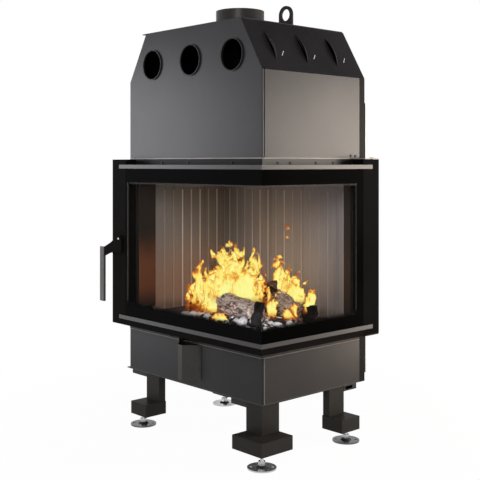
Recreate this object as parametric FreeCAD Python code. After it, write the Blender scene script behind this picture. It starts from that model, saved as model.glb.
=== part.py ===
import FreeCAD, Part
import math
import os

# Wood-burning corner insert with a glass corner door on its front and right side, in mm.
# X runs to the right, Y to the rear and Z up. The pieces are made with the front right upright
# edge of the body at X = 0, Y = 0 and the floor at Z = 0. At the end they are moved so that
# the origin lies on the floor under the middle of the footprint.

# Clearances and cuts shared by all pieces
overrun = 10
running_clearance = 0.05
seat_clearance = 0.3
edge_round = 0.8

# Body, from the base tray up to the roof
body_width = 820
body_depth = 540
channel_depth = 32
casing_sheet = 2
front_return = 9
panel_seam = 0.9
bend_radius = 3
firebox_plate = 4
tray_underside = 182
tray_height = 18
bottom_plate_thickness = 4
base_panel_height = 166
sill_thickness = 4
frame_height = 722
ledge_thickness = 4
jacket_wall_height = 321
slope_height = 198
slope_inset = 115
top_plate_thickness = 3

# Base tray with its rails, bottom plate and combustion air spigot
tray_side_inset = 4
tray_front_inset = 6
tray_rear_inset = 8
tray_sheet = 3
tray_corner_radius = 10
deep_rail_drop = 5
corner_rail_length = 85
rail_slot_setback = 9
rail_slot_length = 42
rail_slot_height = 12
bottom_flange = 20
spigot_diameter = 125
spigot_wall = 2
spigot_length = 47
spigot_setback = 300

# Sill, air channel cover and air control
corner_chamfer = 6
channel_offset = 6
channel_front_width = 25
channel_reach = 47
channel_flange = 12
channel_bottom_gap = 26
channel_top_gap = 2
lever_slot_width = 95
lever_slot_height = 8
lever_rest_offset = 35
lever_width = 12
lever_reach = 24
lever_knob_radius = 5
lever_knob_height = 11
slide_width = 170
slide_depth = 60
slide_thickness = 3
slide_front_gap = 6
air_port_count = 3
air_port_width = 18
air_port_length = 40
air_port_pitch = 46

# Firebox frame
lower_frame_height = 96
header_height = 56
floor_lift = 30
lining_setback = 65
jamb_depth = 88
back_lining_setback = 56
rear_post_width = 35

# Lining, hearth and baffle
lining_thickness = 30
lining_top_drop = 96
groove_pitch = 50
groove_width = 5
groove_depth = 4
groove_end_gap = 38
hearth_thickness = 40
hearth_edge_gap = 2
baffle_thickness = 25
baffle_front_gap = 150
baffle_right_gap = 45

# Logs in a low heap of embers on the hearth, with places as shares of the firebox width and depth
heap_edge_gap = 6
bed_height = 60
bed_middle_shares = (0.43, 0.44)
bed_half_shares = (0.41, 0.38)
bed_layer_shares = [1, 0.9, 0.7, 0.4]
log_radii = [40, 36, 30, 33, 40, 22, 24]
log_start_shares = [
    (0.46, 0.23), (0.3, 0.57), (0.45, 0.31), (0.69, 0.18), (0.8, 0.54), (0.2, 0.13), (0.06, 0.48),
]
log_end_shares = [
    (0.18, 0.21), (0.07, 0.56), (0.21, 0.66), (0.52, 0.49), (0.34, 0.68), (0.16, 0.19), (0.06, 0.56),
]
log_start_rises = [76, 84, 112, 60, 44, 18, 22]
log_end_rises = [68, 44, 137, 52, 52, 80, 72]

# Jacket, smoke dome, collars and lifting eye
roof_overhang = 30
roof_corner_radius = 8
shield_bottom_lift = 31
shield_gap = 12
shield_thickness = 3
shield_side_inset = 5
shield_top_drop = 98
shield_spacer_radius = 7
shield_spacer_inset = 60
throat_width = 300
throat_depth = 220
dome_sheet = 3
dome_margin = 20
dome_top_width = 206
dome_height = 440
flue_diameter = 200
flue_wall = 3
flue_height = 85
flue_setback = 265
outlet_diameter = 125
outlet_wall = 4
outlet_reach = 6
outlet_side_inset = 162
outlet_rise = 66
louvre_count = 3
louvre_front = 95
louvre_pitch = 170
louvre_length = 136
louvre_height = 15
eye_width = 79
eye_bore = 52
eye_thickness = 10
eye_rise = 102
eye_rear_gap = 32

# Door frame, glass, strips and seal
door_sill_gap = 28
door_head_gap = 1
door_reach = 70
door_gap = 14
door_left_overhang = 32
door_rear_overhang = 39
stile_width = 95
stile_plate = 3
hinge_cap = 12
rail_lip_height = 24
rail_head_drop = 22
bottom_rail_height = 68
top_rail_height = 68
glass_thickness = 4
glass_edge_gap = 1
glass_back_gap = 1
glass_corner_gap = 0.6
strip_thickness = 2
strip_height = 16
strip_left_inset = 50
strip_rear_inset = 41
seal_width = 12
seal_edge_gap = 4
seal_lip = 24

# Hinge
hinge_x = 45
hinge_rear_gap = 19
hinge_pin_radius = 6
hinge_head_radius = 9
hinge_head_height = 2
hinge_plate_thickness = 4
hinge_plate_margin = 18
hinge_plate_length = 82
hinge_plate_overhang = 3
hinge_pin_play = 2

# Handle and latch
handle_pivot_x = 67
handle_pivot_height = 361
handle_shaft_radius = 6
handle_boss_wall = 6
handle_boss_end_gap = 6
handle_head_radius = 8
handle_head_height = 4
handle_arm_thickness = 8
handle_arm_gap = 6
handle_arm_reach = 111
handle_arm_drop = 80
handle_arm_shares = [
    (-1.00, -0.52), (-0.59, -0.27), (-0.13, 0.10), (0.05, 0.16),
    (0.13, 0.09), (0.13, -0.73), (-0.60, -0.80), (-1.00, -1.00),
]
grip_width = 31
grip_depth = 11
grip_length = 234
grip_round = 2
hook_length = 33
hook_height = 16
hook_thickness = 6
hook_back_gap = 6
catch_width = 15
catch_height = 19
catch_clearance = 0.6

# Legs and levelling feet
post_width = 85
post_depth = 33
post_wall = 3
post_setback = 5
foot_box_z = 41
foot_box_side = 103
foot_box_height = 51
foot_box_wall = 3
foot_box_reach = 69
corner_post_width = 86
corner_box_side = 156
left_leg_inset = 113
left_leg_lead = 15
rear_leg_rear_gap = 174
rear_leg_lead = 4
rear_left_shift = 14
rear_left_rear_gap = 77
foot_inset = 26
corner_foot_inset = 18
foot_disc_radius = 52.5
foot_disc_thickness = 5
foot_bolt_circle = 78
foot_bolt_radius = 5.5
foot_bolt_count = 4
foot_hub_radius = 22
foot_hub_height = 7
foot_nut_width = 24
foot_nut_gap = 15
foot_stem_radius = 6
foot_stem_head_gap = 3

# Screws that show
screw_radius = 5
screw_height = 3
header_screw_drop = 16
header_screw_front = [166, 426, 595, 697]
header_screw_side = [78, 144, 284, 382]
jacket_screw_rise = 8
jacket_screw_rear = [52, 24]
frame_screw_rise = 8
frame_screw_offsets = [99, 122]

# Levels and planes that follow from the sizes above
bottom_plate_z = tray_underside + tray_height
base_z = bottom_plate_z + bottom_plate_thickness
sill_z = base_z + base_panel_height
frame_z = sill_z + sill_thickness
ledge_z = frame_z + frame_height
jacket_z = ledge_z + ledge_thickness
eave_z = jacket_z + jacket_wall_height
roof_z = eave_z + slope_height
roof_top_z = roof_z + top_plate_thickness
opening_low_z = frame_z + lower_frame_height
opening_high_z = ledge_z - header_height
floor_top_z = frame_z + floor_lift + firebox_plate
lining_top_z = ledge_z - lining_top_drop
lining_face_x = -body_width + lining_setback
lining_face_y = body_depth - back_lining_setback
rear_y = body_depth + channel_depth
wall_left_x = -body_width + firebox_plate
wall_rear_y = body_depth - firebox_plate
middle_x = -body_width / 2
channel_x = middle_x - channel_offset
outlet_pitch = -middle_x - outlet_side_inset
door_z = frame_z + door_sill_gap
door_top_z = ledge_z - door_head_gap
rail_top_z = door_top_z - rail_head_drop
door_left_x = -body_width - door_left_overhang
door_rear_y = body_depth + door_rear_overhang
glass_face = door_reach - strip_thickness
glass_back = glass_face - glass_thickness
web_face = glass_back - glass_back_gap
left_stile_x = door_left_x + stile_width
right_stile_y = door_rear_y - stile_width
hinge_y = door_rear_y - hinge_rear_gap
pivot_x = door_left_x + handle_pivot_x
pivot_z = door_z + handle_pivot_height
handle_back_y = -glass_face - handle_arm_gap
handle_front_y = handle_back_y - handle_arm_thickness
slide_z = frame_z + seat_clearance
lever_x = channel_x - lever_rest_offset
foot_box_top_z = foot_box_z + foot_box_height

nodes = {}


def block(x, y, z):
    """Box between the first and second value on each axis."""
    corner = FreeCAD.Vector(x[0], y[0], z[0])
    return Part.makeBox(x[1] - x[0], y[1] - y[0], z[1] - z[0], corner)


def prism(outline, span, axis="z"):
    """Flat outline, extruded over a span of the axis that it leaves out."""
    start, end = span
    spots = {
        "x": lambda a, b: FreeCAD.Vector(start, a, b),
        "y": lambda a, b: FreeCAD.Vector(a, start, b),
        "z": lambda a, b: FreeCAD.Vector(a, b, start),
    }
    ways = {
        "x": FreeCAD.Vector(end - start, 0, 0),
        "y": FreeCAD.Vector(0, end - start, 0),
        "z": FreeCAD.Vector(0, 0, end - start),
    }
    corners = [spots[axis](a, b) for a, b in outline]
    return Part.Face(Part.makePolygon(corners + corners[:1])).extrude(ways[axis])


def rod(base, way, radius, length):
    """Round bar from its base centre along a direction."""
    return Part.makeCylinder(radius, length, FreeCAD.Vector(*base), FreeCAD.Vector(*way))


def ring(base, way, outer, wall, length):
    """Round tube with an outer radius and a wall."""
    return rod(base, way, outer, length).cut(rod(base, way, outer - wall, length))


def joined(pieces):
    """One solid made of pieces that meet."""
    return pieces[0].fuse(pieces[1:]).removeSplitter()


def corner_run(depth, z, left, rear):
    """Bar along the front and round the corner along the right side, at a depth before the body."""
    inner, outer = depth
    outline = [
        (left, -outer), (outer, -outer), (outer, rear),
        (inner, rear), (inner, -inner), (left, -inner),
    ]
    return prism(outline, z)


def folded(path, thickness):
    """Closed outline of a bent sheet, with its thickness to the left of the path."""
    normals = []
    for (ax, ay), (bx, by) in zip(path, path[1:]):
        length = math.hypot(bx - ax, by - ay)
        normals.append(((ay - by) / length, (bx - ax) / length))
    back = []
    for i, (px, py) in enumerate(path):
        before = normals[max(i - 1, 0)]
        after = normals[min(i, len(normals) - 1)]
        mitre = thickness / (1 + before[0] * after[0] + before[1] * after[1])
        back.append((px + (before[0] + after[0]) * mitre, py + (before[1] + after[1]) * mitre))
    return path + back[::-1]


def broken_edges(shape, radius=edge_round):
    """All edges slightly rounded."""
    return shape.makeFillet(radius, shape.Edges)


def outward(shape):
    """Solid with its faces turned outwards."""
    if shape.Volume < 0:
        shape.reverse()
    return shape


def mirrored(shape):
    """Copy on the other side of the body's middle."""
    return shape.mirror(FreeCAD.Vector(middle_x, 0, 0), FreeCAD.Vector(1, 0, 0))


def leg_sites():
    """Name, place, turn in degrees and box lead of the three straight legs."""
    left = -body_width + left_leg_inset
    return [
        ("front_left", (left, post_setback), 0, left_leg_lead),
        ("rear_left", (left - rear_left_shift, body_depth - rear_left_rear_gap), 0, left_leg_lead),
        ("rear_right", (-post_setback, body_depth - rear_leg_rear_gap), 90, rear_leg_lead),
    ]


def set_down(shape, place, turn):
    """Shape turned about the upright and moved to its place."""
    move = FreeCAD.Vector(place[0], place[1], 0)
    rotation = FreeCAD.Rotation(FreeCAD.Vector(0, 0, 1), turn)
    moved = shape.copy()
    moved.Placement = FreeCAD.Placement(move, rotation)
    return moved


def foot_places():
    """Centre of each levelling foot on the floor, by leg name."""
    places = {}
    for name, (x, y), turn, lead in leg_sites():
        local = FreeCAD.Vector(foot_box_side / 2 - lead, foot_inset - foot_box_reach, 0)
        turned = FreeCAD.Rotation(FreeCAD.Vector(0, 0, 1), turn).multVec(local)
        places[name] = (x + turned.x, y + turned.y)
    corner = corner_box_side - corner_post_width - post_setback - corner_foot_inset
    places["front_right"] = (corner, -corner)
    return places


def front_sheet(z):
    """Sheet across the front, with both ends bent round the corners."""
    path = [(-body_width, front_return), (-body_width, 0), (0, 0), (0, front_return)]
    sheet = prism(folded(path, casing_sheet), z)
    bends = [e for e in sheet.Edges if e.BoundBox.ZLength > 0 and e.BoundBox.YMax < casing_sheet / 2]
    uprights = [e for e in bends if e.BoundBox.XLength < casing_sheet]
    return sheet.makeFillet(bend_radius, uprights)


def rail(x, y, underside):
    """Channel under the base, open downwards."""
    inside_x = (x[0] + tray_sheet, x[1] - tray_sheet)
    inside_y = (y[0] + tray_sheet, y[1] - tray_sheet)
    inside = block(inside_x, inside_y, (underside - overrun, bottom_plate_z - tray_sheet))
    return block(x, y, (underside, bottom_plate_z)).cut(inside)


def make_tray():
    """Sheet under the bottom plate, with a rail down its left side and deeper ones by the right legs."""
    x = (-body_width + tray_side_inset, -tray_side_inset)
    y = (tray_front_inset, body_depth - tray_rear_inset)
    deep_z = tray_underside - deep_rail_drop
    left_rail = rail((x[0], -body_width + left_leg_inset), y, tray_underside)
    corner_post_x = -post_setback - corner_post_width
    corner_rail = rail((corner_post_x - corner_rail_length, corner_post_x), (y[0], y[0] + post_depth), deep_z)
    rear_rail_y = (body_depth - rear_leg_rear_gap + post_width, y[1])
    rear_floor = block(x, rear_rail_y, (deep_z, deep_z + tray_sheet))
    rear_rail = rail(x, rear_rail_y, deep_z).fuse(rear_floor)
    slot_y = rear_rail_y[0] + rail_slot_setback
    slot_z = (deep_z + bottom_plate_z - rail_slot_height) / 2
    slot = block(
        (x[1] - overrun, x[1] + overrun), (slot_y, slot_y + rail_slot_length),
        (slot_z, slot_z + rail_slot_height),
    )
    outline = block(x, y, (deep_z, bottom_plate_z))
    uprights = [e for e in outline.Edges if e.BoundBox.ZLength > tray_sheet]
    outline = outline.makeFillet(tray_corner_radius, uprights)
    sheet = block(x, y, (bottom_plate_z - tray_sheet, bottom_plate_z))
    tray = joined([sheet, left_rail, corner_rail, rear_rail.cut(slot)]).common(outline)
    for post in leg_posts(seat_clearance).values():
        tray = tray.cut(post)
    return tray


def make_base():
    """Tray, bottom plate, panels and spigot below the sill."""
    up = (0, 0, 1)
    air_base = (middle_x, spigot_setback, tray_underside - overrun)
    air_hole = rod(air_base, up, spigot_diameter / 2 - spigot_wall, tray_height + overrun * 3)
    nodes["base_tray"] = make_tray().cut(air_hole)
    plate = block((-body_width - bottom_flange, 0), (0, body_depth), (bottom_plate_z, base_z))
    nodes["bottom_plate"] = broken_edges(plate).cut(air_hole)
    spigot_z = bottom_plate_z - tray_sheet - spigot_length
    spigot_base = (middle_x, spigot_setback, spigot_z)
    nodes["air_inlet_spigot"] = ring(spigot_base, up, spigot_diameter / 2, spigot_wall, spigot_length)
    panel_z = (base_z, sill_z)
    nodes["base_front_panel"] = front_sheet(panel_z)
    start = front_return + panel_seam
    casing = [(0, start), (0, body_depth), (-body_width, body_depth), (-body_width, start)]
    nodes["base_casing"] = prism(folded(casing, casing_sheet), panel_z)


def air_ports(center_x, z):
    """Row of air slots across the sill or the slide plate."""
    first = center_x - air_port_pitch * (air_port_count - 1) / 2 - air_port_width / 2
    front = firebox_plate + slide_front_gap + (slide_depth - air_port_length) / 2
    slots = []
    for i in range(air_port_count):
        x = first + air_port_pitch * i
        slots.append(block((x, x + air_port_width), (front, front + air_port_length), z))
    return slots


def make_air_control():
    """Sill with its air slots, the cover before it, and the sliding lever."""
    sill = prism(
        [
            (-body_width, 0), (-corner_chamfer, 0), (0, corner_chamfer),
            (0, body_depth), (-body_width, body_depth),
        ],
        (sill_z, frame_z),
    )
    sill = broken_edges(sill)
    cut_z = (sill_z - overrun, frame_z + overrun)
    slot_x = (channel_x - lever_slot_width / 2, channel_x + lever_slot_width / 2)
    notch = block(slot_x, (-overrun, firebox_plate), cut_z)
    sill = sill.cut(notch)
    for slot in air_ports(channel_x, cut_z):
        sill = sill.cut(slot)
    nodes["sill_plate"] = sill
    half_front = channel_front_width / 2
    half_back = half_front + channel_reach
    path = [
        (channel_x + half_back + channel_flange, 0), (channel_x + half_back, 0),
        (channel_x + half_front, -channel_reach), (channel_x - half_front, -channel_reach),
        (channel_x - half_back, 0), (channel_x - half_back - channel_flange, 0),
    ]
    channel_z = (base_z + channel_bottom_gap, sill_z - channel_top_gap)
    nodes["air_channel_cover"] = prism(folded(path, casing_sheet), channel_z)
    plate_front = firebox_plate + slide_front_gap
    plate_z = (slide_z, slide_z + slide_thickness)
    half_slide = slide_width / 2
    plate_x = (lever_x - half_slide, lever_x + half_slide)
    plate = block(plate_x, (plate_front, plate_front + slide_depth), plate_z)
    for slot in air_ports(lever_x, (slide_z - overrun, slide_z + overrun)):
        plate = plate.cut(slot)
    nodes["air_slide_plate"] = plate
    half_lever = lever_width / 2
    bar = block((lever_x - half_lever, lever_x + half_lever), (-lever_reach, plate_front), plate_z)
    knob_base = (lever_x, half_lever - lever_reach, plate_z[1])
    knob = rod(knob_base, (0, 0, 1), lever_knob_radius, lever_knob_height)
    knob = knob.makeFillet(edge_round, [e for e in knob.Edges if e.BoundBox.ZMin > plate_z[1] + edge_round])
    nodes["air_lever"] = joined([bar, knob])


def make_firebox():
    """Steel walls, frames and posts of the firebox."""
    wall_z = (frame_z, ledge_z)
    opening_z = (opening_low_z, opening_high_z)
    nodes["left_wall"] = block((-body_width, wall_left_x), (0, body_depth), wall_z)
    nodes["back_wall"] = block((wall_left_x, 0), (wall_rear_y, body_depth), wall_z)
    face = (-firebox_plate, 0)
    lower = corner_run(face, (frame_z, opening_low_z), wall_left_x, wall_rear_y)
    half_slot = lever_slot_width / 2
    slot = block(
        (channel_x - half_slot, channel_x + half_slot), (-overrun, firebox_plate + overrun),
        (frame_z - overrun, frame_z + lever_slot_height),
    )
    nodes["lower_frame"] = lower.cut(slot)
    nodes["header_frame"] = corner_run(face, (opening_high_z, ledge_z), wall_left_x, wall_rear_y)
    floor_z = floor_top_z - firebox_plate
    nodes["floor_plate"] = block(
        (wall_left_x, -firebox_plate), (firebox_plate, wall_rear_y), (floor_z, floor_top_z)
    )
    jamb = [(wall_left_x, 0), (lining_face_x, 0), (lining_face_x, jamb_depth)]
    nodes["left_front_post"] = prism(folded(jamb, firebox_plate), opening_z)
    rear_post = [(0, wall_rear_y), (0, lining_face_y), (-rear_post_width, lining_face_y)]
    nodes["right_rear_post"] = prism(folded(rear_post[::-1], firebox_plate), opening_z)
    ledge = prism(
        [
            (-body_width, 0), (-corner_chamfer, 0), (0, corner_chamfer),
            (0, body_depth), (-body_width, body_depth),
        ],
        (ledge_z, jacket_z),
    )
    throat = block(
        (middle_x - throat_width / 2, middle_x + throat_width / 2),
        (flue_setback - throat_depth / 2, flue_setback + throat_depth / 2),
        (ledge_z - overrun, jacket_z + overrun),
    )
    nodes["ledge_plate"] = broken_edges(ledge).cut(throat)


def grooves(first, last):
    """Middles of the lining grooves between two edges."""
    count = int((last - first) / groove_pitch)
    start = (first + last - groove_pitch * (count - 1)) / 2
    return [start + groove_pitch * i for i in range(count)]


def make_lining():
    """Grooved lining slabs, hearth slab and baffle."""
    slab_z = (floor_top_z, lining_top_z)
    groove_z = (floor_top_z + groove_end_gap, lining_top_z - groove_end_gap)
    half = groove_width / 2
    left_back_x = lining_face_x - lining_thickness
    left = block((left_back_x, lining_face_x), (jamb_depth, lining_face_y), slab_z)
    left_cut_x = (lining_face_x - groove_depth, lining_face_x + overrun)
    for y in grooves(jamb_depth, lining_face_y):
        left = left.cut(block(left_cut_x, (y - half, y + half), groove_z))
    nodes["lining_left"] = left
    back_rear_y = lining_face_y + lining_thickness
    back = block((left_back_x, -rear_post_width), (lining_face_y, back_rear_y), slab_z)
    back_cut_y = (lining_face_y - overrun, lining_face_y + groove_depth)
    for x in grooves(lining_face_x, -rear_post_width):
        back = back.cut(block((x - half, x + half), back_cut_y, groove_z))
    nodes["lining_back"] = back
    edge = firebox_plate + hearth_edge_gap
    hearth_z = (floor_top_z, floor_top_z + hearth_thickness)
    nodes["hearth_slab"] = block((lining_face_x, -edge), (edge, lining_face_y), hearth_z)
    baffle_z = (lining_top_z, lining_top_z + baffle_thickness)
    nodes["baffle_plate"] = block((left_back_x, -baffle_right_gap), (baffle_front_gap, back_rear_y), baffle_z)


def heap_spot(shares, rise):
    """Point over the hearth, by its shares of the firebox width and depth from the front right corner."""
    across, back = shares
    return FreeCAD.Vector(lining_face_x * across, lining_face_y * back, floor_top_z + hearth_thickness + rise)


def make_log_heap():
    """Ember bed in layers that narrow upwards, with round logs lying in it and across each other."""
    half_width, half_depth = -lining_face_x * bed_half_shares[0], lining_face_y * bed_half_shares[1]
    layers = []
    for share in bed_layer_shares:
        middle = heap_spot(bed_middle_shares, bed_height * (1 - share ** 2))
        layers.append(Part.Wire(Part.Ellipse(middle, half_width * share, half_depth * share).toShape()))
    heap = [Part.makeLoft(layers, True, True)]
    ends = zip(log_start_shares, log_start_rises, log_end_shares, log_end_rises)
    for radius, (start_shares, start_rise, end_shares, end_rise) in zip(log_radii, ends):
        start, end = heap_spot(start_shares, start_rise), heap_spot(end_shares, end_rise)
        heap.append(rod(start, end - start, radius, start.distanceToPoint(end)))
    room = block(
        (lining_face_x + heap_edge_gap, -heap_edge_gap), (heap_edge_gap, lining_face_y - heap_edge_gap),
        (floor_top_z + hearth_thickness, lining_top_z),
    )
    nodes["log_heap"] = joined([piece.common(room) for piece in heap])


def slope_louvre(front_y):
    """Quarter of a pressed spindle on the right slope, open to the front, with its cut-out."""
    run = math.hypot(slope_inset, slope_height)
    along = FreeCAD.Vector(-slope_inset / run, 0, slope_height / run)
    normal = FreeCAD.Vector(slope_height / run, 0, slope_inset / run)
    centre = FreeCAD.Vector(-slope_inset / 2, front_y, eave_z + slope_height / 2)
    quarters = []
    for wall in (0, casing_sheet):
        end = along * (louvre_length / 2 - wall)
        crest = centre + normal * (louvre_height - wall)
        arc = Part.Arc(centre + end, crest, centre - end).toShape()
        face = Part.Face(Part.Wire([arc, Part.makeLine(centre - end, centre + end)]))
        quarters.append(outward(face.revolve(centre, along, 90)))
    face.rotate(centre, along, 90)
    return quarters[0].cut(quarters[1]), outward(face.extrude(normal * -casing_sheet))


def make_jacket():
    """Hood round the smoke dome, with its back cover and heat shield."""
    gable = [
        (0, jacket_z), (0, eave_z), (-slope_inset, roof_z),
        (slope_inset - body_width, roof_z), (-body_width, eave_z), (-body_width, jacket_z),
    ]
    front = joined([front_sheet((jacket_z, eave_z)), prism(gable[1:5], (0, casing_sheet), "y")])
    outlet_z = eave_z + outlet_rise
    for side, name in zip((-1, 0, 1), ("left", "middle", "right")):
        base = (middle_x + outlet_pitch * side, 0, outlet_z)
        front = front.cut(rod(base, (0, 1, 0), outlet_diameter / 2 - outlet_wall, overrun))
        collar = ring(base, (0, -1, 0), outlet_diameter / 2, outlet_wall, outlet_reach)
        nodes["hot_air_collar_" + name] = collar
    nodes["jacket_front_panel"] = front
    profile = folded([(0, jacket_z), (0, eave_z), (-slope_inset, roof_z)], casing_sheet)
    side = prism(profile, (casing_sheet, rear_y - casing_sheet), "y")
    wall_z = (jacket_z - overrun, eave_z)
    for y in ((0, front_return + panel_seam), (body_depth, rear_y)):
        side = side.cut(block((-overrun, overrun), y, wall_z))
    nodes["jacket_left_panel"] = mirrored(side)
    for i in range(louvre_count):
        shell, cut_out = slope_louvre(louvre_front + louvre_pitch * i)
        side = side.cut(cut_out).fuse(shell)
    nodes["jacket_right_panel"] = side.removeSplitter()
    rear = [(x, bottom_plate_z if z == jacket_z else z) for x, z in gable]
    sheet = prism(rear, (rear_y - casing_sheet, rear_y), "y")
    flange = block((-casing_sheet, 0), (body_depth, rear_y - casing_sheet), (bottom_plate_z, eave_z))
    nodes["back_cover"] = joined([sheet, flange, mirrored(flange)])
    shield_y = rear_y + shield_gap
    shield_x = (-body_width + shield_side_inset, -shield_side_inset)
    shield_z = (bottom_plate_z + shield_bottom_lift, eave_z - shield_top_drop)
    shield = [block(shield_x, (shield_y, shield_y + shield_thickness), shield_z)]
    for x in (shield_x[0] + shield_spacer_inset, shield_x[1] - shield_spacer_inset):
        for z in (shield_z[0] + shield_spacer_inset, shield_z[1] - shield_spacer_inset):
            shield.append(rod((x, rear_y, z), (0, 1, 0), shield_spacer_radius, shield_gap))
    nodes["rear_heat_shield"] = joined(shield)


def dome_wire(width, depth, z):
    """Rectangle about the flue axis."""
    corners = [
        FreeCAD.Vector(middle_x + width / 2 * i, flue_setback + depth / 2 * j, z)
        for i, j in ((-1, -1), (1, -1), (1, 1), (-1, 1))
    ]
    return Part.makePolygon(corners + corners[:1])


def make_roof():
    """Top plate, flue collar, lifting eye and the smoke dome below them."""
    up = (0, 0, 1)
    flue_radius = flue_diameter / 2
    flue_bore = flue_radius - flue_wall
    roof_x = (slope_inset - body_width - roof_overhang, -slope_inset)
    roof = block(roof_x, (0, rear_y), (roof_z, roof_top_z))
    uprights = [e for e in roof.Edges if e.BoundBox.ZLength > top_plate_thickness / 2]
    roof = roof.makeFillet(roof_corner_radius, uprights)
    bore = rod((middle_x, flue_setback, roof_z - overrun), up, flue_bore, top_plate_thickness + overrun * 2)
    nodes["jacket_top_plate"] = roof.cut(bore)
    collar_base = (middle_x, flue_setback, roof_top_z)
    nodes["flue_collar"] = ring(collar_base, up, flue_radius, flue_wall, flue_height)
    eye_y = rear_y - eye_rear_gap - eye_thickness
    eye_z = roof_top_z + eye_rise
    half_eye = eye_width / 2
    eye_x = (middle_x - half_eye, middle_x + half_eye)
    neck = block(eye_x, (eye_y, eye_y + eye_thickness), (roof_top_z, eye_z))
    head = rod((middle_x, eye_y, eye_z), (0, 1, 0), half_eye, eye_thickness)
    eye_hole = rod((middle_x, eye_y - overrun, eye_z), (0, 1, 0), eye_bore / 2, eye_thickness + overrun * 2)
    nodes["lifting_eye"] = joined([neck, head]).cut(eye_hole)
    low_width = throat_width + dome_margin * 2
    low_depth = throat_depth + dome_margin * 2
    dome_z = jacket_z + dome_height
    outer_wires = [
        dome_wire(low_width, low_depth, jacket_z),
        dome_wire(dome_top_width, dome_top_width, dome_z),
    ]
    outer = Part.makeLoft(outer_wires, True, True)
    skin = dome_sheet * 2
    inner_wires = [
        dome_wire(low_width - skin, low_depth - skin, jacket_z),
        dome_wire(dome_top_width - skin, dome_top_width - skin, dome_z - dome_sheet),
    ]
    inner = Part.makeLoft(inner_wires, True, True)
    neck_base = (middle_x, flue_setback, dome_z)
    collar = ring(neck_base, up, flue_radius, flue_wall, roof_z - dome_z)
    mouth = rod((middle_x, flue_setback, dome_z - overrun), up, flue_bore, overrun * 2)
    nodes["smoke_dome"] = joined([outer.cut(inner), collar]).cut(mouth)


def make_stiles():
    """Upright channels at both ends of the door."""
    back_y = -door_gap
    web_y = stile_plate - glass_face
    tall = (door_z, door_top_z)
    inner_x = left_stile_x - stile_plate
    outer_x = door_left_x + stile_plate
    boss_radius = handle_shaft_radius + handle_boss_wall
    boss_length = glass_face - door_gap - handle_boss_end_gap
    left = [
        block((door_left_x, left_stile_x), (-glass_face, web_y), tall),
        block((door_left_x, outer_x), (web_y, back_y), tall),
        block((inner_x, left_stile_x), (web_y, back_y), tall),
        block((inner_x - seal_lip, inner_x), (back_y - stile_plate, back_y), tall),
        block((outer_x, inner_x), (web_y, back_y), (door_z, door_z + stile_plate)),
        block((outer_x, inner_x), (web_y, back_y), (door_top_z - stile_plate, door_top_z)),
        rod((pivot_x, -glass_face, pivot_z), (0, 1, 0), boss_radius, boss_length),
    ]
    bore = rod(
        (pivot_x, -glass_face - overrun, pivot_z), (0, 1, 0),
        handle_shaft_radius + running_clearance, glass_face + overrun * 2,
    )
    nodes["door_left_stile"] = joined(left).cut(bore)
    web_x = glass_face - stile_plate
    front_y = right_stile_y + stile_plate
    end_y = door_rear_y - stile_plate
    right = [
        block((web_x, glass_face), (right_stile_y, door_rear_y), tall),
        block((door_gap, web_x), (right_stile_y, front_y), tall),
        block((door_gap, web_x), (end_y, door_rear_y), tall),
        block((door_gap, door_gap + stile_plate), (front_y, front_y + seal_lip + seal_width), tall),
        block((door_gap, web_x), (front_y, end_y), (door_z, door_z + hinge_cap)),
        block((door_gap, web_x), (front_y, end_y), (door_top_z - hinge_cap, door_top_z)),
    ]
    stile = joined(right)
    pin_hole = hinge_pin_radius + running_clearance
    stile_height = door_top_z - door_z
    bore = rod((hinge_x, hinge_y, door_z - overrun), (0, 0, 1), pin_hole, stile_height + overrun * 2)
    nodes["door_right_stile"] = stile.cut(bore)


def make_rails():
    """Bottom and top rails that run round the glass corner, between the stiles."""
    left = left_stile_x
    rear = right_stile_y
    plate = stile_plate
    web = (web_face - plate, web_face)
    lip = (glass_face - plate, glass_face)
    seat = (door_gap, door_gap + plate)
    low_glass_z = door_z + rail_lip_height + plate
    low_top_z = door_z + bottom_rail_height
    bottom = [
        corner_run((door_gap, glass_face), (door_z, door_z + plate), left, rear),
        corner_run(lip, (door_z, low_glass_z), left, rear),
        corner_run((web[0], glass_face), (low_glass_z - plate, low_glass_z), left, rear),
        corner_run(web, (low_glass_z - plate, low_top_z), left, rear),
        corner_run((door_gap, web_face), (low_top_z - plate, low_top_z), left, rear),
        corner_run(seat, (low_top_z - seal_lip, low_top_z), left, rear),
    ]
    nodes["door_bottom_rail"] = joined(bottom)
    high_low_z = rail_top_z - top_rail_height
    top = [
        corner_run((door_gap, glass_face), (rail_top_z - plate, rail_top_z), left, rear),
        corner_run(web, (high_low_z, rail_top_z), left, rear),
        corner_run((door_gap, web_face), (high_low_z, high_low_z + plate), left, rear),
        corner_run(seat, (high_low_z, rail_top_z), left, rear),
    ]
    nodes["door_top_rail"] = joined(top)


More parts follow.
